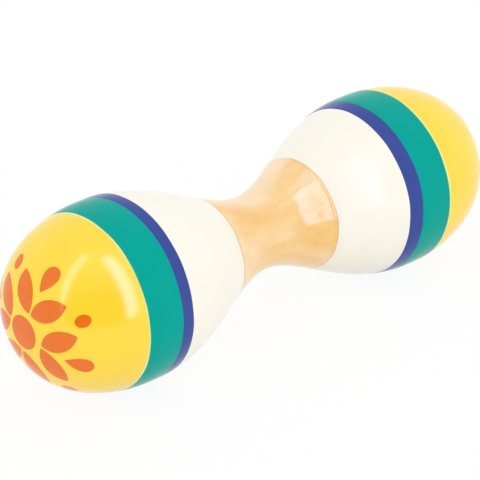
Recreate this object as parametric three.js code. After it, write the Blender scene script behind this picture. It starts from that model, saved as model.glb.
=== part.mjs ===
// Double maraca: a waisted wooden grip between two hollow, turned and painted heads with loose beads in them.
// Millimetres, +Z up. The maraca lies on a table with its axis along X, and the origin is on the table under
// the middle of the grip. The two heads are alike: the left one is the right one after half a turn about Z.
// "Distance" in this file is measured along the axis from the middle of the grip.
import * as THREE from "three";

// Outside shape
const HEAD_DIAMETER = 48;
const WAIST_DIAMETER = 20.2;
const EQUATOR = 46.1; // distance of a head's widest line, where its bowl and dome meet
const BELT_WIDTH = 3; // parallel belt along that line, half on the bowl and half on the dome
const DOME_LENGTH = 29.1; // widest line to the tip
const DOME_ROUNDNESS = 1.94; // exponents of the dome's superellipse, along the axis and across it
const DOME_FULLNESS = 2.75;
const WAIST_EASE = 13.5; // reach of the flare's level start at the waist
const BELL_EASE = 17.8; // reach of its level end at the belt
const GRIP_LENGTH = 33; // bare wood between the heads

// Joints between the wooden pieces
const TENON_DIAMETER = 12;
const SPIGOT_LENGTH = 5;
const SPIGOT_WALL = 3;
const GLUE_GAP = 0.15;
const EDGE_BREAK = 0.6;

// Rattle chamber in each head
const HEAD_WALL = 6.5; // at the belt
const NECK_LENGTH = 13; // end of the grip to the chamber's floor
const FLOOR_FILLET = 3.5;
const TIP_WALL = 7;
const DOME_FILLET = 11;

// Beads
const BEAD_DIAMETER = 6;
const BEAD_GAP = 0.3; // from a resting bead to the wall and to its neighbours
const SIDE_ROWS = 2; // rows on each side of the lowest row

// Faceting
const SIDES = 40;
const FLARE_STEPS = 9;
const DOME_STEPS = 12;
const FILLET_STEPS = 2;
const BEAD_SIDES = 12;
const BEAD_RINGS = 6;

const headRadius = HEAD_DIAMETER / 2;
const waistRadius = WAIST_DIAMETER / 2;
const gripEnd = GRIP_LENGTH / 2;
const beltStart = EQUATOR - BELT_WIDTH / 2;
const beltEnd = EQUATOR + BELT_WIDTH / 2;
const tip = EQUATOR + DOME_LENGTH;

const chamberRadius = headRadius - HEAD_WALL;
const chamberFloor = gripEnd + NECK_LENGTH;
const chamberEnd = tip - TIP_WALL;

const tenonRadius = TENON_DIAMETER / 2;
const tenonEnd = chamberFloor - GLUE_GAP;
const spigotRadius = chamberRadius + SPIGOT_WALL;
const spigotEnd = EQUATOR - SPIGOT_LENGTH;

// The belt has a facet underneath, so the axis is as high as that facet is far from it.
const axisHeight = headRadius * Math.cos(Math.PI / SIDES);

// An outline point: distance along the axis, then radius.
function point(distance, radius) {
  return new THREE.Vector2(distance, radius);
}

// The outside from the waist to the belt, level at both ends.
const flare = new THREE.CubicBezierCurve(
  point(0, waistRadius),
  point(WAIST_EASE, waistRadius),
  point(beltStart - BELL_EASE, headRadius),
  point(beltStart, headRadius),
);

// How far along the flare's curve, from 0 to 1, it passes a distance.
function flareShareAt(distance) {
  let below = 0;
  let above = 1;
  while (above - below > 1e-12) {
    const middle = (below + above) / 2;
    if (flare.getPoint(middle).x < distance) {
      below = middle;
    } else {
      above = middle;
    }
  }
  return above;
}

function flarePoints(from, to) {
  return Array.from({ length: FLARE_STEPS + 1 }, (_, step) =>
    flare.getPoint(from + ((to - from) * step) / FLARE_STEPS),
  );
}

// The grip meets a bowl on the flare, at the grip's end.
const seamShare = flareShareAt(gripEnd);

function handleOutline() {
  const half = [
    ...flarePoints(0, seamShare),
    point(gripEnd, tenonRadius),
    point(tenonEnd - EDGE_BREAK, tenonRadius),
    point(tenonEnd, tenonRadius - EDGE_BREAK),
    point(tenonEnd, 0),
  ];
  const otherHalf = half.slice(1).map(({ x, y }) => point(-x, y));
  return [...otherHalf.reverse(), ...half];
}

function bowlOutline() {
  const rabbetRadius = spigotRadius + GLUE_GAP;
  const rabbetFloor = spigotEnd - GLUE_GAP;
  const socketRadius = tenonRadius + GLUE_GAP;
  const inside = new THREE.Path();
  inside.moveTo(EQUATOR, headRadius);
  inside.lineTo(EQUATOR, rabbetRadius);
  inside.lineTo(rabbetFloor, rabbetRadius);
  inside.lineTo(rabbetFloor, chamberRadius);
  inside.absarc(
    chamberFloor + FLOOR_FILLET,
    chamberRadius - FLOOR_FILLET,
    FLOOR_FILLET,
    Math.PI / 2,
    Math.PI,
  );
  inside.lineTo(chamberFloor, socketRadius);
  inside.lineTo(gripEnd, socketRadius);
  const outside = flarePoints(seamShare, 1);
  return [...outside, ...inside.getPoints(FILLET_STEPS), outside[0]];
}

function domeOutline() {
  const inside = new THREE.Path();
  inside.absarc(
    chamberEnd - DOME_FILLET,
    chamberRadius - DOME_FILLET,
    DOME_FILLET,
    0,
    Math.PI / 2,
  );
  inside.lineTo(spigotEnd, chamberRadius);
  inside.lineTo(spigotEnd, spigotRadius - EDGE_BREAK);
  inside.lineTo(spigotEnd + EDGE_BREAK, spigotRadius);
  inside.lineTo(EQUATOR, spigotRadius);
  inside.lineTo(EQUATOR, headRadius);
  const outside = [];
  for (let step = 0; step < DOME_STEPS; step++) {
    const angle = (step / DOME_STEPS) * (Math.PI / 2);
    const share = Math.sin(angle) ** (2 / DOME_ROUNDNESS);
    const radius = headRadius * Math.cos(angle) ** (2 / DOME_FULLNESS);
    outside.push(point(beltEnd + (tip - beltEnd) * share, radius));
  }
  return [point(chamberEnd, 0), ...inside.getPoints(2 * FILLET_STEPS), ...outside, point(tip, 0)];
}

function wood(colour, roughness) {
  return new THREE.MeshStandardMaterial({ color: colour, roughness, metalness: 0 });
}

// A turned piece about the X axis, with a facet facing straight down.
function turned(name, outline, material) {
  const profile = outline.map(({ x, y }) => new THREE.Vector2(y, x));
  const geometry = new THREE.LatheGeometry(profile, SIDES, Math.PI / SIDES);
  geometry.rotateZ(-Math.PI / 2);
  const mesh = new THREE.Mesh(geometry, material);
  mesh.name = name;
  return mesh;
}

// Resting places of one head's beads, all on the chamber's wall. The lowest row fills the straight part of
// the bore, and each row up the sides has a pair next to the middle of the heap.
function beadPlaces() {
  const beadRadius = BEAD_DIAMETER / 2;
  const pitch = BEAD_DIAMETER + BEAD_GAP;
  const boreStart = chamberFloor + Math.max(FLOOR_FILLET, beadRadius + BEAD_GAP);
  const boreEnd = chamberEnd - Math.max(DOME_FILLET, beadRadius + BEAD_GAP);
  const middle = (boreStart + boreEnd) / 2;
  const wallReach = chamberRadius - beadRadius - BEAD_GAP;
  const rowAngle = 2 * Math.asin(pitch / 2 / wallReach);
  const places = [];
  const addRow = (row, count) => {
    for (let bead = 0; bead < count; bead++) {
      const distance = middle + (bead - (count - 1) / 2) * pitch;
      const across = wallReach * Math.sin(row * rowAngle);
      const down = wallReach * Math.cos(row * rowAngle);
      places.push(new THREE.Vector3(distance, across, -down));
    }
  };
  addRow(0, Math.floor((boreEnd - boreStart) / pitch) + 1);
  for (let row = 1; row <= SIDE_ROWS; row++) {
    addRow(row, 2);
    addRow(-row, 2);
  }
  return places;
}

function bead(name, place) {
  const steel = new THREE.MeshStandardMaterial({ color: 0xb8bcc2, roughness: 0.25, metalness: 1 });
  const mesh = new THREE.Mesh(new THREE.SphereGeometry(BEAD_DIAMETER / 2, BEAD_SIDES, BEAD_RINGS), steel);
  mesh.name = name;
  mesh.position.copy(place);
  return mesh;
}

function head(side) {
  const group = new THREE.Group();
  group.add(turned(`${side}_bowl`, bowlOutline(), wood(0xfcf9ef, 0.25)));
  group.add(turned(`${side}_dome`, domeOutline(), wood(0xfed934, 0.25)));
  beadPlaces().forEach((place, index) => {
    group.add(bead(`${side}_bead_${index + 1}`, place));
  });
  return group;
}

const maraca = new THREE.Group();
maraca.position.z = axisHeight;
maraca.add(turned("handle", handleOutline(), wood(0xfbd398, 0.35)));

const rightHead = head("right");
maraca.add(rightHead);

const leftHead = head("left");
leftHead.rotation.z = Math.PI;
maraca.add(leftHead);

export default maraca;
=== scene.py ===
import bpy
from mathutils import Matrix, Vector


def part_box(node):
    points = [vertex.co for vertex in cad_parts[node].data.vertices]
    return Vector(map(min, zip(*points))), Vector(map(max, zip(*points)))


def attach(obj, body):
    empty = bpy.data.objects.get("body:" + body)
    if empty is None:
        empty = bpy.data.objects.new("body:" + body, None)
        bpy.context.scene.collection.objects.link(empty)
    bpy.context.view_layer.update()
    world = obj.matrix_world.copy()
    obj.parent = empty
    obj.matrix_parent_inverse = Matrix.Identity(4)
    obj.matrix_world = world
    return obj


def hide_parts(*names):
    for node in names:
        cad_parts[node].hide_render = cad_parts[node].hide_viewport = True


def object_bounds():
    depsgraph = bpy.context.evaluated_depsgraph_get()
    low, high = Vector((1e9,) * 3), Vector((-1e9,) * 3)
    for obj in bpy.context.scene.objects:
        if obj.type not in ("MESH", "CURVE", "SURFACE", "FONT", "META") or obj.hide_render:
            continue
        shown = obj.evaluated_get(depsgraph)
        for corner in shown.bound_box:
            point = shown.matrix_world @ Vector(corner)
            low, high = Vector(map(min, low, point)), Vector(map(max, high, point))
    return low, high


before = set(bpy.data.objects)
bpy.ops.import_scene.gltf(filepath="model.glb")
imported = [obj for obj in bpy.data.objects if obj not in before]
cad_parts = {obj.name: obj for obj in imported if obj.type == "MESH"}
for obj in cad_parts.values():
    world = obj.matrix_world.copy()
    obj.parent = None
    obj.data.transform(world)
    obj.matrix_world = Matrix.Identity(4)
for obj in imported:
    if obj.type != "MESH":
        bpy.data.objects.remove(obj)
CAD_BOX = [list(corner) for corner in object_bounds()]

# Looks of a double maraca: a varnished grip between two gloss-painted heads, with bands and a printed
# rosette. Metres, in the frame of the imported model: the maraca's axis runs along X, and +Z is up. "Distance"
# is measured along the axis from the middle of the grip, and an outline is a list of distances and radii.
import math

import bmesh
import bpy
import numpy as np
from mathutils import Matrix, Vector

MM = 0.001
SIDES = {"left": -1, "right": 1}  # which way along X each head lies

# Places and sizes read from the frame
AXIS_HEIGHT = (CAD_BOX[0][2] + CAD_BOX[1][2]) / 2
GRIP_END, EQUATOR = (corner.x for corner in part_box("right_bowl"))
SPIGOT_END, TIP = (corner.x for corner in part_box("right_dome"))
TENON_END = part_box("handle")[1].x
BOWL_POINTS = [vertex.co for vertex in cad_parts["right_bowl"].data.vertices]
HEAD_RADIUS = max(math.hypot(point.y, point.z - AXIS_HEIGHT) for point in BOWL_POINTS)

# Outside shape
WAIST_RADIUS = 10.1 * MM
BELT_WIDTH = 3 * MM  # parallel belt along a head's widest line
WAIST_EASE = 13.5 * MM  # reach of the flare's level start at the waist
BELL_EASE = 17.8 * MM  # reach of its level end at the belt
DOME_ROUNDNESS = 1.94  # exponents of the dome's superellipse, along the axis and across it
DOME_FULLNESS = 2.75
DIP_DEPTH = 0.14 * MM  # of the shallow dip in the flare by each end of the bare wood
DIP_PLACE = GRIP_END + 0.5 * MM
DIP_START = 3.8 * MM  # how far before its deepest line it starts
DIP_END = 1.5 * MM  # how far past that line it ends
SEAM_BREAK = 0.1 * MM  # softened edge on both sides of the seam between grip and bowl

# Inside of the heads
CHAMBER_RADIUS = HEAD_RADIUS - 6.5 * MM
CHAMBER_FLOOR = GRIP_END + 13 * MM
CHAMBER_END = TIP - 7 * MM
FLOOR_FILLET = 3.5 * MM
DOME_FILLET = 11 * MM
TENON_RADIUS = 6 * MM
SPIGOT_RADIUS = CHAMBER_RADIUS + 3 * MM
GLUE_GAP = 0.15 * MM
EDGE_BREAK = 0.6 * MM

# Beads, as shares of their radius
BALL_FLAT = 0.985  # height of the small flat at each pole
BALL_LINE = 0.03  # half width of the faint groove round the middle
BALL_GROOVE = 0.00375  # depth of that groove

# Paint lines of each head: purple starts, purple meets teal, teal ends
PAINT_LINES = {
    "left": (41.8 * MM, 45.33 * MM, 55.3 * MM),
    "right": (35.7 * MM, 39.8 * MM, 49.7 * MM),
}
CREAM_STARTS = {"left": 16.2 * MM, "right": 17.0 * MM}  # by hand, so not quite on the seam at the grip's end
PAINT_HEIGHT = 0.06 * MM
PAINT_ROOT = 0.05 * MM  # how far a coat reaches into what it lies on
PAINT_EDGE = 0.35 * MM  # width of a coat's rounded edge
RIDGE_WIDTH = 0.34 * MM  # of the thin ridge of paint where yellow meets teal
TRIM_LAP = 0.25 * MM  # how far a trim ring reaches past the seam
TRIM_SEEDS = {"left": 4, "right": 5}  # of each trim ring's wander
RINGS_PER_HEAD = 3  # two bands and a ridge, each with a wander of its own
BRUSH_WOBBLE = 0.09 * MM  # how far a paint line wanders
BRUSH_WAVES = ((2, 0.9), (5, 0.5), (9, 0.35), (17, 0.2))  # waves round the head, and their size
BRUSH_PHASE = 1.3

# Rosette, on the dome's surface and measured from its own centre
ROSETTE_ARMS = 4
ROSETTE_TURNS = {"left": math.radians(-18.4), "right": math.radians(-32.4)}
ROSETTE_OFFSETS = {"left": (-0.3 * MM, -1.1 * MM), "right": (-1.0 * MM, -1.6 * MM)}  # centre from the pole
DISC_OFFSET = (-0.6 * MM, -0.2 * MM)  # of the disc, printed a little off the rosette's centre
DISC_RADIUS = 4.5 * MM
PETAL_BASE = (5.9 * MM, math.radians(4.0))  # reach and angle from its arm
PETAL_TIP = (16.2 * MM, math.radians(30.2))
PETAL_HALF_WIDTH = 2.85 * MM
DROP_REACH = (12.7 * MM, 20.2 * MM)
DROP_HALF_WIDTH = 2.35 * MM
DOT_REACH = 18.6 * MM
DOT_OFFSET = (0.2 * MM, -0.65 * MM)  # of the dots, printed off the centre like the disc
DOT_HALF_LENGTH = 2.1 * MM
DOT_HALF_WIDTH = 1.75 * MM
PRINT_HEIGHT = 0.03 * MM

# Mesh resolution
SEGMENTS = 192
CURVE_STEPS = 96
FILLET_STEPS = 10
BAND_STEPS = 28
LEAF_STEPS = 28
LEAF_ROWS = 8
BALL_SEGMENTS = 48
BALL_RINGS = 32
FINE_STEPS = 2000  # of the outline that places are looked up in
ON_AXIS = 1e-9  # a smaller radius is a point on the axis
MERGE_DISTANCE = 1e-7
SHARP_ANGLE = math.radians(35)  # edges that turn more than this stay sharp

# Paints: full colour, deeper colour, and the refraction index of the gloss over them
CREAM = ((249, 246, 235), (247, 243, 231), 1.27)
YELLOW = ((255, 219, 48), (254, 215, 41), 1.62)
RIDGE_YELLOW_PAINTED_HIGHLIGHT = ((236, 246, 176), (232, 243, 165), 1.5)  # yellow paint on the ridge by the teal, paled with a painted highlight
TEAL = ((0, 166, 153), (0, 162, 149), 1.14)
PURPLE = ((56, 76, 155), (52, 71, 149), 1.28)
ORANGE = ((238, 117, 18), (234, 110, 12), 1.45)
CLOUD_STOPS = (0.3, 0.65)  # values of the cloud where the colour is deepest and where it is full
PAINT_ROUGHNESS = (0.35, 0.45)  # least and most, under the gloss
INK_ROUGHNESS = (0.35, 0.5)
GLOSS_ROUGHNESS = 0.15
PEEL_DEPTH = 0.003 * MM
SWELL_DEPTH = 0.04 * MM

# Wood: its tones by the figure's value, and shades with the values where each is fullest and where it ends
WOOD_TONES = ((0.34, (247, 198, 122)), (0.5, (249, 210, 151)), (0.66, (252, 223, 184)))
STREAK_SHADE = ((251, 246, 238), 0.32, 0.55)
PORE_SHADE = ((249, 240, 227), 0.26, 0.36)
MARK_SHADE = ((254, 252, 249), 0.3, 0.5)
STREAK_DEPTH = 0.01 * MM
PORE_DEPTH = 0.005 * MM
MARK_DEPTH = 0.01 * MM
BARE_ROUGHNESS = (0.6, 0.75)
VARNISH_ROUGHNESS = (0.09, 0.12)
VARNISH_IOR = 1.66
VARNISH_TINT = (1.0, 1.0, 0.77, 1.0)  # amber in what the varnish mirrors
EDGE_DARKER_AMBER = (224, 172, 108)  # darker amber on the wood beside the cream paint
DARKENING_REACH = 0.55 * MM  # how far from the cream paint the wood starts to turn darker
RIPPLE_DEPTH = 0.09 * MM

# Steel
STEEL_TONES = ((0.3, (176, 178, 182)), (0.7, (205, 206, 208)))  # by the scuffs' value
STEEL_ROUGHNESS = (0.14, 0.32)
SCUFF_DEPTH = 0.003 * MM

# Noise patterns, with their scale per metre along X, Y and Z. The wood's grain runs along X.
CLOUD = {"scale": (90, 90, 90), "detail": 4, "roughness": 0.55}
INK_CLOUD = {"scale": (260, 260, 260), "detail": 4, "roughness": 0.6}
PEEL = {"scale": (700, 700, 700), "detail": 2}
SWELL = {"scale": (80, 160, 160), "detail": 1}
FIGURE = {"scale": (30, 75, 60), "shift": (9.4, 4.0, 7.08), "detail": 2, "roughness": 0.45, "distortion": 0.6}
STREAKS = {"scale": (30, 600, 600), "detail": 4, "roughness": 0.55}
PORES = {"scale": (300, 4200, 4200), "detail": 2}
TURNING_MARKS = {"scale": (900, 14, 14), "detail": 2}
RIPPLE = {"scale": (110, 260, 260), "detail": 2, "roughness": 0.6}
SCUFFS = {"scale": (1800, 1800, 1800), "detail": 5, "roughness": 0.7}
NOISE_RANGE = (0.3, 0.7)  # where most of a pattern's values lie

# A mix node's sockets for colours come after those for numbers and vectors
MIX_FACTOR, MIX_FIRST, MIX_SECOND, MIX_RESULT = 0, 6, 7, 2

# Camera: focal length, and the grip's middle as the camera sees it (right, down, ahead)
SENSOR_MM = 36
LENS_MM = 218.4
CLIP_START = 0.01
AZIMUTH = math.radians(-43.47)
ELEVATION = math.radians(26.78)
GRIP_IN_VIEW = (2.69 * MM, -1.76 * MM, 750.6 * MM)

# White room
WHITE = (1.0, 1.0, 1.0)
AMBIENT = 0.97  # strength of its light
FLOOR_REACH = 3.0
FLOOR_COLOUR = (0.96, 0.96, 0.96, 1)
FLOOR_GLOW = 0.93  # share of plain white in what is seen of the floor
OPENING_GLOW = 0.02  # where it is dim
OPENING_DIM = (0.014, 0.42)  # shares of its height between which it is dim
OPENING_CORNERS = (
    (-0.05, -0.16, 0.003),
    (-0.2, -0.05, 0.003),
    (-0.12, -1.0, 0.05),
    (-1.0, -0.12, 0.05),
    (-0.12, -0.38, 0.92),
    (-0.38, -0.12, 0.92),
)
OPENING_PANELS = ((0, 1, 3, 2), (2, 3, 5, 4))

# Lamps, each between two points. The strips are rose, which keeps their streaks on the yellow cream.
STRIPS = {
    "front_strip": {
        "low": (-0.03, -1.0, 0.02),
        "high": (-0.03, -0.25, 1.0),
        "width": 0.13,
        "radiance": 6.6,
        "colour": (1.0, 0.46, 1.0),
    },
    "end_strip": {
        "low": (-1.0, -0.15, 0.08),
        "high": (-0.2, 0.0, 1.0),
        "width": 0.13,
        "radiance": 3.8,
        "colour": (1.0, 0.65, 1.0),
    },
}
SOFT_LAMPS = {
    "soft_lamp": {"low": (-0.7, -0.9, 0.7), "high": (-0.4, -0.5, 1.5), "width": 1.2, "radiance": 0.4},
    "fill_lamp": {"low": (0.45, -1.0, 0.02), "high": (0.45, -0.9, 0.5), "width": 1.2, "radiance": 0.3},
}


def flare_dip(distance):
    """How far the flare lies under its plain curve."""
    before = np.clip(1 + (distance - DIP_PLACE) / DIP_START, 0, 1)
    after = np.clip(1 - (distance - DIP_PLACE) / DIP_END, 0, 1)
    return DIP_DEPTH * before**2 * after**2 * (3 - 2 * after)


def flare_outline(steps):
    """The outside from the waist to the belt: a cubic curve that is level at both ends, with its dip."""
    belt_start = EQUATOR - BELT_WIDTH / 2
    t = np.linspace(0, 1, steps + 1)
    weights = ((1 - t) ** 3, 3 * (1 - t) ** 2 * t, 3 * (1 - t) * t**2, t**3)
    distances = (0, WAIST_EASE, belt_start - BELL_EASE, belt_start)
    radii = (WAIST_RADIUS, WAIST_RADIUS, HEAD_RADIUS, HEAD_RADIUS)
    distance, radius = (sum(w * v for w, v in zip(weights, values)) for values in (distances, radii))
    return np.column_stack([distance, radius - flare_dip(distance)])


def dome_outline(steps):
    """The outside from the end of the belt to the tip: a quarter of a superellipse."""
    start = EQUATOR + BELT_WIDTH / 2
    points = []
    for step in range(steps):
        angle = step / steps * math.pi / 2
        share = math.sin(angle) ** (2 / DOME_ROUNDNESS)
        radius = HEAD_RADIUS * math.cos(angle) ** (2 / DOME_FULLNESS)
        points.append((start + (TIP - start) * share, radius))
    return np.array(points + [(TIP, 0.0)])


# The whole outside in fine steps, with the length along it and its slope angle at each point
SURFACE = np.vstack([flare_outline(FINE_STEPS), dome_outline(FINE_STEPS)])
LENGTHS = np.concatenate([[0], np.cumsum(np.hypot(*np.diff(SURFACE, axis=0).T))])
SLOPES = np.unwrap(np.arctan2(*np.gradient(SURFACE, axis=0)[:, ::-1].T))


def radius_at(distance):
    """Radius of the outside at a distance."""
    return float(np.interp(distance, SURFACE[:, 0], SURFACE[:, 1]))


def raised(distance, height):
    """(distance, radius) of points at a height over the outside."""
    radius = np.interp(distance, SURFACE[:, 0], SURFACE[:, 1])
    slope = np.interp(distance, SURFACE[:, 0], SLOPES)
    return distance - height * np.sin(slope), radius + height * np.cos(slope)


def fillet(centre, radius, start, end):
    """Points of an arc between two angles in degrees."""
    angles = np.radians(np.linspace(start, end, FILLET_STEPS + 1))
    return [(centre[0] + radius * math.cos(a), centre[1] + radius * math.sin(a)) for a in angles]


def around(distance, radius, angle, sign):
    """A point in the model's frame. The angle is zero at the front and grows towards the top."""
    return (sign * distance, -radius * math.cos(angle), AXIS_HEIGHT + radius * math.sin(angle))


def add_object(name, data):
    """Puts a mesh, lamp or camera in the scene."""
    item = bpy.data.objects.new(name, data)
    bpy.context.scene.collection.objects.link(item)
    return item


def add_piece(name, vertices, faces, materials, material_of=None):
    """A mesh object with outward faces, smooth except at its real edges."""
    mesh = bpy.data.meshes.new(name)
    mesh.from_pydata(vertices, [], faces)
    if material_of is not None:
        mesh.polygons.foreach_set("material_index", material_of)
    work = bmesh.new()
    work.from_mesh(mesh)
    bmesh.ops.remove_doubles(work, verts=work.verts, dist=MERGE_DISTANCE)
    bmesh.ops.recalc_face_normals(work, faces=work.faces)
    work.to_mesh(mesh)
    work.free()
    mesh.polygons.foreach_set("use_smooth", [True] * len(mesh.polygons))
    mesh.set_sharp_from_angle(angle=SHARP_ANGLE)
    for material in materials:
        mesh.materials.append(material)
    return add_object(name, mesh)


def turned(name, outline, sign, closed, materials, bare):
    """A turned piece from an outline that closes on itself or starts and ends on the axis.

    bare lists the outline's stretches that take the second material.
    """
    rings, vertices = [], []
    for distance, radius in outline:
        count = SEGMENTS if radius > ON_AXIS else 1
        rings.append([len(vertices) + k for k in range(count)])
        vertices += [around(distance, radius, 2 * math.pi * k / SEGMENTS, sign) for k in range(count)]
    faces, material_of = [], []
    for stretch, ring in enumerate(rings if closed else rings[:-1]):
        other = rings[(stretch + 1) % len(rings)]
        for k in range(SEGMENTS):
            corners = [ring[k % len(ring)], ring[(k + 1) % len(ring)]]
            corners += [other[(k + 1) % len(other)], other[k % len(other)]]
            faces.append(list(dict.fromkeys(corners)))
            material_of.append(1 if stretch in bare else 0)
    return add_piece(name, vertices, faces, materials, material_of)


def make_grip(varnish, raw_wood):
    edge = GRIP_END - SEAM_BREAK
    waist = [(d, r) for d, r in flare_outline(CURVE_STEPS) if d < edge]
    waist += [(edge, radius_at(edge)), (GRIP_END, radius_at(GRIP_END) - SEAM_BREAK)]
    tenon = [(GRIP_END, TENON_RADIUS), (TENON_END - EDGE_BREAK, TENON_RADIUS)]
    tenon += [(TENON_END, TENON_RADIUS - EDGE_BREAK), (TENON_END, 0.0)]
    half = waist + tenon
    outline = [(-d, r) for d, r in reversed(half[1:])] + half
    last = len(outline) - 1
    bare = [*range(len(tenon)), *range(last - len(tenon), last)]
    return turned("grip", outline, 1, False, [varnish, raw_wood], bare)


def make_bowl(side, paint, raw_wood):
    edge = GRIP_END + SEAM_BREAK
    outside = [(edge, radius_at(edge))]
    outside += [(d, r) for d, r in flare_outline(CURVE_STEPS) if d > edge]
    outside += [(EQUATOR, HEAD_RADIUS)]
    rabbet, floor, socket = SPIGOT_RADIUS + GLUE_GAP, SPIGOT_END - GLUE_GAP, TENON_RADIUS + GLUE_GAP
    inside = [(EQUATOR, rabbet), (floor, rabbet), (floor, CHAMBER_RADIUS)]
    corner = (CHAMBER_FLOOR + FLOOR_FILLET, CHAMBER_RADIUS - FLOOR_FILLET)
    inside += fillet(corner, FLOOR_FILLET, 90, 180)
    inside += [(CHAMBER_FLOOR, socket), (GRIP_END, socket)]
    neck = [(GRIP_END, radius_at(GRIP_END) - SEAM_BREAK)]
    bare = range(len(outside) - 1, len(outside) + len(inside))
    outline = outside + inside + neck
    return turned(f"{side}_bowl_shell", outline, SIDES[side], True, [paint, raw_wood], bare)


def make_dome(side, paint, raw_wood):
    corner = (CHAMBER_END - DOME_FILLET, CHAMBER_RADIUS - DOME_FILLET)
    inside = [(CHAMBER_END, 0.0)] + fillet(corner, DOME_FILLET, 0, 90)
    inside += [(SPIGOT_END, CHAMBER_RADIUS), (SPIGOT_END, SPIGOT_RADIUS - EDGE_BREAK)]
    inside += [(SPIGOT_END + EDGE_BREAK, SPIGOT_RADIUS), (EQUATOR, SPIGOT_RADIUS)]
    outside = [(EQUATOR, HEAD_RADIUS)] + [tuple(point) for point in dome_outline(CURVE_STEPS)]
    bare = range(len(inside))
    return turned(f"{side}_dome_shell", inside + outside, SIDES[side], False, [paint, raw_wood], bare)


def wobble(angle, seed):
    """A hand-held brush's small wander along a paint line."""
    phase = BRUSH_PHASE * seed
    return BRUSH_WOBBLE * sum(size * math.sin(count * (angle + seed) + phase) for count, size in BRUSH_WAVES)


def make_band(name, side, start, end, seed, paint):
    """A thin closed ring of paint over the head, with rounded, slightly wavering edges."""
    shares = (1 - np.cos(np.linspace(0, math.pi, BAND_STEPS + 1))) / 2
    vertices, faces = [], []
    for k in range(SEGMENTS):
        angle = 2 * math.pi * k / SEGMENTS
        low, high = start + wobble(angle, seed), end + wobble(angle, seed + 1)
        distances = low + (high - low) * shares
        from_edge = np.minimum(distances - low, high - distances) / PAINT_EDGE
        swell = np.sqrt(1 - (1 - np.clip(from_edge, 0, 1)) ** 2)
        top = np.column_stack(raised(distances, PAINT_HEIGHT * swell))
        root = np.column_stack(raised(distances[::-1], -PAINT_ROOT))
        vertices += [around(d, r, angle, SIDES[side]) for d, r in np.vstack([top, root])]
    ring = 2 * (BAND_STEPS + 1)
    for k in range(SEGMENTS):
        here, there = k * ring, (k + 1) % SEGMENTS * ring
        for j in range(ring):
            following = (j + 1) % ring
            faces.append((here + j, here + following, there + following, there + j))
    return add_piece(name, vertices, faces, [paint])


def make_trim(side, cream, varnish):
    """A thin ring that carries the cream paint, or the wood, a little past the seam at the grip's end."""
    name, line, seed = f"{side}_neck_trim", CREAM_STARTS[side], TRIM_SEEDS[side]
    if line < GRIP_END:
        return make_band(name, side, line, GRIP_END + TRIM_LAP, seed, cream), "cream_paint"
    return make_band(name, side, GRIP_END - TRIM_LAP, line, seed, varnish), "natural_wood"


def petal_width(share, length):
    """Half width of a petal between two arcs."""
    half = length / 2
    arc = (half**2 + PETAL_HALF_WIDTH**2) / (2 * PETAL_HALF_WIDTH)
    along = share * length - half
    return math.sqrt(arc**2 - along**2) - (arc - PETAL_HALF_WIDTH)


def drop_width(share, length):
    """Half width of a drop that is pointed at its start and round at its end."""
    widest_at = 1 - DROP_HALF_WIDTH / length
    if share < widest_at:
        return DROP_HALF_WIDTH * math.sin(share / widest_at * math.pi / 2)
    return math.sqrt(max(DROP_HALF_WIDTH**2 - ((share - widest_at) * length) ** 2, 0))


def disc_width(share, length):
    return length * math.sqrt(max(share - share**2, 0))


def dot_width(share, length):
    return DOT_HALF_WIDTH / DOT_HALF_LENGTH * disc_width(share, length)


def polar(reach, angle):
    return Vector((reach * math.cos(angle), reach * math.sin(angle)))


def rosette_shapes(turn):
    """The rosette's flat shapes: (start, end, half-width function) of each."""
    centre, across = Vector(DISC_OFFSET), Vector((DISC_RADIUS, 0))
    shapes = [(centre - across, centre + across, disc_width)]
    dot_reaches = (DOT_REACH - DOT_HALF_LENGTH, DOT_REACH + DOT_HALF_LENGTH)
    dot_offset = Vector(DOT_OFFSET)
    for arm in range(ROSETTE_ARMS):
        along = turn + arm * 2 * math.pi / ROSETTE_ARMS
        for lean in (-1, 1):
            petal_ends = [polar(reach, along + lean * angle) for reach, angle in (PETAL_BASE, PETAL_TIP)]
            shapes.append((*petal_ends, petal_width))
        drop_ends = [polar(reach, along) for reach in DROP_REACH]
        shapes.append((*drop_ends, drop_width))
        between = along + math.pi / ROSETTE_ARMS
        dot_ends = [polar(reach, between) + dot_offset for reach in dot_reaches]
        shapes.append((*dot_ends, dot_width))
    return shapes


def on_dome(flat, height, sign):
    """Wraps a flat point round the dome's pole, at a height over the paint."""
    place = LENGTHS[-1] - flat.length
    distance, radius, slope = (np.interp(place, LENGTHS, values) for values in (*SURFACE.T, SLOPES))
    distance -= height * math.sin(slope)
    radius += height * math.cos(slope)
    return around(distance, radius, math.atan2(flat.y, flat.x), sign)


def patch_faces(first):
    """Faces of one patch of ink: its top, its underside and the edge that joins them."""
    across, layer = LEAF_ROWS + 1, (LEAF_STEPS + 1) * (LEAF_ROWS + 1)
    faces = []
    for step in range(LEAF_STEPS):
        for row in range(LEAF_ROWS):
            corner = first + step * across + row
            quad = (corner, corner + 1, corner + across + 1, corner + across)
            faces += [quad, tuple(c + layer for c in quad)]
        for row in (0, LEAF_ROWS):
            corner = first + step * across + row
            faces.append((corner, corner + across, corner + across + layer, corner + layer))
    return faces


def make_rosette(side, ink):
    """Thin closed patches of ink that hug the dome."""
    shift = Vector(ROSETTE_OFFSETS[side])
    vertices, faces = [], []
    for start, end, half_width in rosette_shapes(ROSETTE_TURNS[side]):
        spine = end - start
        across = Vector((-spine.y, spine.x)).normalized()
        faces += patch_faces(len(vertices))
        for height in (PRINT_HEIGHT, -PAINT_ROOT):
            for step in range(LEAF_STEPS + 1):
                share = (1 - math.cos(math.pi * step / LEAF_STEPS)) / 2
                width = half_width(share, spine.length)
                for row in range(LEAF_ROWS + 1):
                    offset = width * (2 * row / LEAF_ROWS - 1)
                    flat = start + spine * share + across * offset + shift
                    vertices.append(on_dome(flat, height, SIDES[side]))
    return add_piece(f"{side}_rosette", vertices, faces, [ink])


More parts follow.
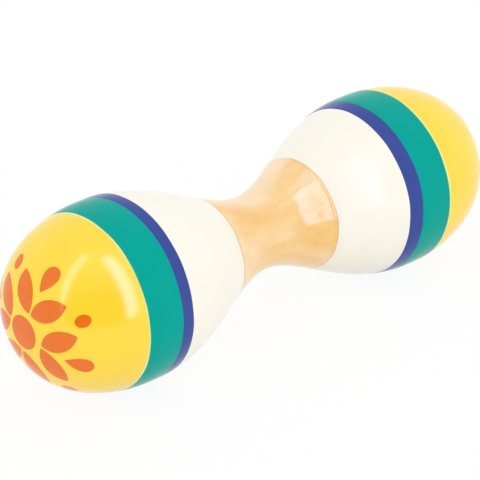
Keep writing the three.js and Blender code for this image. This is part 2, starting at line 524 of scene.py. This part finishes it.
def make_ball(name, node, steel):
    """A headed steel ball: it has a faint groove round its middle and a small flat at each pole."""
    low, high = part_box(node)
    centre, radius = (low + high) / 2, (high.x - low.x) / 2
    flat = BALL_FLAT * radius
    work = bmesh.new()
    bmesh.ops.create_uvsphere(work, u_segments=BALL_SEGMENTS, v_segments=BALL_RINGS, radius=radius)
    for vertex in work.verts:
        vertex.co.z = max(-flat, min(flat, vertex.co.z))
        if abs(vertex.co.z) < BALL_LINE * radius:
            vertex.co.x *= 1 - BALL_GROOVE
            vertex.co.y *= 1 - BALL_GROOVE
        vertex.co += centre
    mesh = bpy.data.meshes.new(name)
    work.to_mesh(mesh)
    work.free()
    mesh.polygons.foreach_set("use_smooth", [True] * len(mesh.polygons))
    mesh.materials.append(steel)
    return add_object(name, mesh)


class Shader:
    """A small helper that adds and links a material's nodes."""

    def __init__(self, name):
        self.material = bpy.data.materials.new(name)
        self.material.use_nodes = True
        self.tree = self.material.node_tree
        self.surface = self.tree.nodes["Principled BSDF"]

    def add(self, kind, **values):
        node = self.tree.nodes.new(kind)
        for key, value in values.items():
            setattr(node, key, value)
        return node

    def link(self, source, target):
        self.tree.links.new(source, target)

    def feed(self, value, target):
        """Links a node's output to a socket, or sets a plain value on it."""
        if isinstance(value, bpy.types.NodeSocket):
            self.link(value, target)
        else:
            target.default_value = value

    def set(self, **values):
        """Sets or links sockets of the surface, by their names with underscores for spaces."""
        for key, value in values.items():
            self.feed(value, self.surface.inputs[key.replace("_", " ")])

    def show(self, output):
        """Makes a node's output the material's surface in place of the plain one."""
        self.link(output, self.tree.nodes["Material Output"].inputs["Surface"])

    def place(self):
        """The piece's own coordinates."""
        return self.add("ShaderNodeTexCoord").outputs["Object"]

    def coordinate(self, axis):
        """The piece's own coordinate along one axis."""
        split = self.add("ShaderNodeSeparateXYZ")
        self.link(self.place(), split.inputs["Vector"])
        return split.outputs[axis]

    def pattern(self, scale, detail, shift=(0, 0, 0), roughness=0.5, distortion=0.0):
        """Noise over the piece, stretched by its scale along each axis and then shifted."""
        mapping = self.add("ShaderNodeMapping")
        mapping.inputs["Scale"].default_value = scale
        mapping.inputs["Location"].default_value = shift
        self.link(self.place(), mapping.inputs["Vector"])
        noise = self.add("ShaderNodeTexNoise")
        noise.inputs["Scale"].default_value = 1.0
        noise.inputs["Detail"].default_value = detail
        noise.inputs["Roughness"].default_value = roughness
        noise.inputs["Distortion"].default_value = distortion
        self.link(mapping.outputs["Vector"], noise.inputs["Vector"])
        return noise.outputs["Fac"]

    def ramp(self, source, *stops):
        """Colours by value: each stop is (position, colour)."""
        node = self.add("ShaderNodeValToRGB")
        elements = node.color_ramp.elements
        while len(elements) < len(stops):
            elements.new(1.0)
        for element, (position, colour) in zip(elements, stops):
            element.position = position
            element.color = (*colour, 1)
        self.link(source, node.inputs["Fac"])
        return node.outputs["Color"]

    def spread(self, source, to, within=NOISE_RANGE):
        """A value carried from one range to another."""
        node = self.add("ShaderNodeMapRange")
        for name, value in zip(("From Min", "From Max", "To Min", "To Max"), (*within, *to)):
            node.inputs[name].default_value = value
        self.link(source, node.inputs["Value"])
        return node.outputs["Result"]

    def blend(self, factor, first, second, mode="MIX"):
        """Two colours mixed by a factor."""
        node = self.add("ShaderNodeMix", data_type="RGBA", blend_type=mode)
        for value, socket in ((factor, MIX_FACTOR), (first, MIX_FIRST), (second, MIX_SECOND)):
            self.feed(value, node.inputs[socket])
        return node.outputs[MIX_RESULT]

    def bump(self, height, depth, under=None):
        """A normal from a height, over another normal if one is given."""
        node = self.add("ShaderNodeBump")
        node.inputs["Strength"].default_value = 1.0
        node.inputs["Distance"].default_value = depth
        self.link(height, node.inputs["Height"])
        if under is not None:
            self.link(under, node.inputs["Normal"])
        return node.outputs["Normal"]


def linear(*srgb):
    """A colour of 0 to 255 steps as linear light."""
    return tuple(c / 255 / 12.92 if c < 11 else ((c / 255 + 0.055) / 1.055) ** 2.4 for c in srgb)


def clouded(shader, cloud, colour, deeper):
    """A colour with a faint cloud in its depth."""
    deepest, full = CLOUD_STOPS
    return shader.ramp(shader.pattern(**cloud), (deepest, linear(*deeper)), (full, linear(*colour)))


def gloss_paint(name, colour, deeper, coat_ior):
    """Sprayed gloss paint, with a fine peel and a slow swell in the gloss."""
    shader = Shader(name)
    peel = shader.pattern(**PEEL)
    swell = shader.bump(shader.pattern(**SWELL), SWELL_DEPTH)
    shader.set(
        Base_Color=clouded(shader, CLOUD, colour, deeper),
        Roughness=shader.spread(peel, PAINT_ROUGHNESS),
        Specular_IOR_Level=0.0,
        Coat_Weight=1.0,
        Coat_IOR=coat_ior,
        Coat_Roughness=GLOSS_ROUGHNESS,
        Coat_Normal=shader.bump(peel, PEEL_DEPTH, under=swell),
    )
    return shader.material


def print_ink(name, colour, deeper, coat_ior):
    """Screen-printed ink under the gloss, a little uneven."""
    shader = Shader(name)
    peel = shader.pattern(**PEEL)
    shader.set(
        Base_Color=clouded(shader, INK_CLOUD, colour, deeper),
        Roughness=shader.spread(peel, INK_ROUGHNESS),
        Specular_IOR_Level=0.0,
        Coat_Weight=1.0,
        Coat_IOR=coat_ior,
        Coat_Roughness=GLOSS_ROUGHNESS,
        Coat_Normal=shader.bump(peel, PEEL_DEPTH),
    )
    return shader.material


def wood_colour(shader, streaks, pores, marks):
    """Pale close-grained wood: the tones of its figure, shaded by finer patterns."""
    colour = shader.ramp(shader.pattern(**FIGURE), *((value, linear(*tone)) for value, tone in WOOD_TONES))
    for pattern, shade in ((streaks, STREAK_SHADE), (pores, PORE_SHADE), (marks, MARK_SHADE)):
        darkest, fullest_at, ends_at = shade
        veil = shader.ramp(pattern, (fullest_at, linear(*darkest)), (ends_at, WHITE))
        colour = shader.blend(1.0, colour, veil, "MULTIPLY")
    return colour


def near_cream(shader):
    """Grows from 0 to 1 over the last stretch of wood before the cream paint."""
    along = shader.coordinate("X")
    nearest = shader.add("ShaderNodeMath", operation="MAXIMUM")
    for socket, (side, sign) in zip(nearest.inputs, SIDES.items()):
        line = sign * CREAM_STARTS[side]
        start = line - sign * DARKENING_REACH
        shader.link(shader.spread(along, (0, 1), (start, line)), socket)
    return nearest.outputs[0]


def varnished_wood(name):
    """Wood under a rippled amber varnish, turning darker amber by the painted heads."""
    shader = Shader(name)
    streaks, pores, marks = (shader.pattern(**kind) for kind in (STREAKS, PORES, TURNING_MARKS))
    colour = wood_colour(shader, streaks, pores, marks)
    relief = shader.bump(marks, MARK_DEPTH)
    shader.set(
        # the wood turns darker amber towards each cream paint line
        Base_Color=shader.blend(near_cream(shader), colour, (*linear(*EDGE_DARKER_AMBER), 1)),
        Roughness=shader.spread(streaks, VARNISH_ROUGHNESS),
        IOR=VARNISH_IOR,
        Specular_Tint=VARNISH_TINT,
        Normal=shader.bump(shader.pattern(**RIPPLE), RIPPLE_DEPTH, under=relief),
    )
    return shader.material


def bare_wood(name):
    """The same wood with its grain open, inside the heads and on the joints."""
    shader = Shader(name)
    streaks, pores, marks = (shader.pattern(**kind) for kind in (STREAKS, PORES, TURNING_MARKS))
    relief = shader.bump(pores, PORE_DEPTH)
    shader.set(
        Base_Color=wood_colour(shader, streaks, pores, marks),
        Roughness=shader.spread(streaks, BARE_ROUGHNESS),
        Specular_IOR_Level=0.0,
        Normal=shader.bump(streaks, STREAK_DEPTH, under=relief),
    )
    return shader.material


def polished_steel(name):
    """Steel with small scuffs."""
    shader = Shader(name)
    scuffs = shader.pattern(**SCUFFS)
    shader.set(
        Base_Color=shader.ramp(scuffs, *((value, linear(*tone)) for value, tone in STEEL_TONES)),
        Metallic=1.0,
        Roughness=shader.spread(scuffs, STEEL_ROUGHNESS),
        Normal=shader.bump(scuffs, SCUFF_DEPTH),
    )
    return shader.material


def seen_directly(tree):
    """1 for rays from the camera, and for those that reflect or pass through to the background."""
    paths = tree.nodes.new("ShaderNodeLightPath")
    total = paths.outputs["Is Camera Ray"]
    for name in ("Is Glossy Ray", "Is Transmission Ray"):
        larger = tree.nodes.new("ShaderNodeMath")
        larger.operation = "MAXIMUM"
        tree.links.new(total, larger.inputs[0])
        tree.links.new(paths.outputs[name], larger.inputs[1])
        total = larger.outputs[0]
    return total


def make_world():
    """White all round, at full white where it is seen and a little less as light."""
    world = bpy.data.worlds.new("white_room")
    bpy.context.scene.world = world
    world.use_nodes = True
    tree = world.node_tree
    background = tree.nodes["Background"]
    background.inputs["Color"].default_value = (*WHITE, 1)
    strength = tree.nodes.new("ShaderNodeMapRange")
    strength.inputs["To Min"].default_value = AMBIENT
    strength.inputs["To Max"].default_value = 1.0
    tree.links.new(seen_directly(tree), strength.inputs["Value"])
    tree.links.new(strength.outputs["Result"], background.inputs["Strength"])


def floor_white():
    """Dull white that mostly glows where it is seen, so that it keeps a faint shadow."""
    shader = Shader("floor_white")
    shader.set(Base_Color=FLOOR_COLOUR, Roughness=1.0, Specular_IOR_Level=0.0)
    share = shader.add("ShaderNodeMath", operation="MULTIPLY")
    share.inputs[1].default_value = FLOOR_GLOW
    shader.link(seen_directly(shader.tree), share.inputs[0])
    mixed = shader.add("ShaderNodeMixShader")
    sources = (share, shader.surface, shader.add("ShaderNodeEmission"))
    for source, socket in zip(sources, mixed.inputs):
        shader.link(source.outputs[0], socket)
    shader.show(mixed.outputs[0])
    return shader.material


def make_floor():
    reach, height = FLOOR_REACH, AXIS_HEIGHT - HEAD_RADIUS - PAINT_HEIGHT
    corners = [(x * reach, y * reach, height) for x, y in ((-1, -1), (1, -1), (1, 1), (-1, 1))]
    mesh = bpy.data.meshes.new("floor")
    mesh.from_pydata(corners, [], [(0, 1, 2, 3)])
    mesh.materials.append(floor_white())
    add_object("floor", mesh)


def dim_room():
    """What shows through the opening: white at its foot, then dim, and brighter again towards its top."""
    shader = Shader("dim_room")
    foot, top = OPENING_CORNERS[0][2], OPENING_CORNERS[-1][2]
    dim_from, dim_to = OPENING_DIM
    dim = (OPENING_GLOW,) * 3
    share = shader.spread(shader.coordinate("Z"), (0, 1), (foot, top))
    glow = shader.add("ShaderNodeEmission")
    tone = shader.ramp(share, (0, WHITE), (dim_from, dim), (dim_to, dim), (1, WHITE))
    shader.link(tone, glow.inputs["Color"])
    shader.show(glow.outputs[0])
    return shader.material


def make_opening():
    """The white room's opening, behind the camera and between the strips. Only gloss shows it."""
    mesh = bpy.data.meshes.new("tent_opening")
    mesh.from_pydata(OPENING_CORNERS, [], OPENING_PANELS)
    mesh.materials.append(dim_room())
    opening = add_object("tent_opening", mesh)
    for ray in ("camera", "diffuse", "transmission", "volume_scatter", "shadow"):
        setattr(opening, f"visible_{ray}", False)


def area_light(name, low, high, width, radiance, colour=WHITE):
    """A straight lamp between two points, facing the maraca."""
    low, high = Vector(low), Vector(high)
    centre, along = (low + high) / 2, high - low
    light = bpy.data.lights.new(name, "AREA")
    light.shape = "RECTANGLE"
    light.size, light.size_y = width, along.length
    light.energy = radiance * math.pi * width * along.length
    light.color = colour
    lamp = add_object(name, light)
    up = along.normalized()
    back = centre - Vector((0, 0, AXIS_HEIGHT))
    back = (back - back.dot(up) * up).normalized()
    turn = Matrix((up.cross(back), up, back)).transposed()
    lamp.matrix_world = Matrix.Translation(centre) @ turn.to_4x4()
    return lamp


def make_lights():
    """Two narrow strips that only show in the gloss, and two wide soft lamps that only shade."""
    for name, strip in STRIPS.items():
        area_light(name, **strip).visible_diffuse = False
    for name, lamp in SOFT_LAMPS.items():
        area_light(name, **lamp).visible_glossy = False


def make_camera():
    camera = bpy.data.cameras.new("photo_camera")
    camera.lens = LENS_MM
    camera.sensor_width = SENSOR_MM
    camera.clip_start = CLIP_START
    eye = add_object("photo_camera", camera)
    right = Vector((math.cos(AZIMUTH), math.sin(AZIMUTH), 0))
    level = math.cos(ELEVATION)
    ahead = Vector((-math.sin(AZIMUTH) * level, math.cos(AZIMUTH) * level, -math.sin(ELEVATION)))
    down = ahead.cross(right)
    offset = sum((way * reach for way, reach in zip((right, down, ahead), GRIP_IN_VIEW)), Vector())
    turn = Matrix((right, -down, -ahead)).transposed()
    eye.matrix_world = Matrix.Translation(Vector((0, 0, AXIS_HEIGHT)) - offset) @ turn.to_4x4()
    bpy.context.scene.camera = eye


def dress(piece, slot, body="shell", node=None):
    """Says what a piece moves with and which CAD node it stands for, and hides that node. Its slot is not
    used.
    """
    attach(piece, body)
    if node:
        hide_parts(node)


def make_rings(side, seed, purple, teal, pale):
    """The bands of a head and the thin ridge of paint beside the teal, whose pale colour is a painted
    highlight.
    """
    purple_start, purple_end, teal_end = PAINT_LINES[side]
    rings = (
        ("purple_band", purple_start, purple_end, purple, "purple_paint"),
        ("teal_band", purple_end, teal_end, teal, "teal_paint"),
        # the ridge is yellow paint, coloured pale as a painted highlight
        ("yellow_ridge_painted_highlight", teal_end, teal_end + RIDGE_WIDTH, pale, "yellow_paint"),
    )
    for number, (name, start, end, paint, slot) in enumerate(rings):
        dress(make_band(f"{side}_{name}", side, start, end, seed + number, paint), slot)


def build():
    varnish = varnished_wood("varnished_wood")
    raw_wood = bare_wood("bare_wood")
    cream = gloss_paint("cream_gloss", *CREAM)
    yellow = gloss_paint("yellow_gloss", *YELLOW)
    pale = gloss_paint("ridge_yellow_painted_highlight_gloss", *RIDGE_YELLOW_PAINTED_HIGHLIGHT)
    teal = gloss_paint("teal_gloss", *TEAL)
    purple = gloss_paint("purple_gloss", *PURPLE)
    orange = print_ink("orange_ink", *ORANGE)
    steel = polished_steel("polished_steel")
    dress(make_grip(varnish, raw_wood), "natural_wood", node="handle")
    for number, side in enumerate(SIDES):
        dress(make_bowl(side, cream, raw_wood), "cream_paint", node=f"{side}_bowl")
        dress(make_dome(side, yellow, raw_wood), "yellow_paint", node=f"{side}_dome")
        make_rings(side, RINGS_PER_HEAD * number, purple, teal, pale)
        dress(make_rosette(side, orange), "orange_print")
        dress(*make_trim(side, cream, varnish))
    for node in [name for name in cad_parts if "_bead_" in name]:
        dress(make_ball(node.replace("bead", "ball"), node, steel), "bead_steel", body=node, node=node)


make_camera()
make_world()
make_floor()
make_opening()
make_lights()
build()
bpy.context.scene.view_settings.view_transform = "Standard"
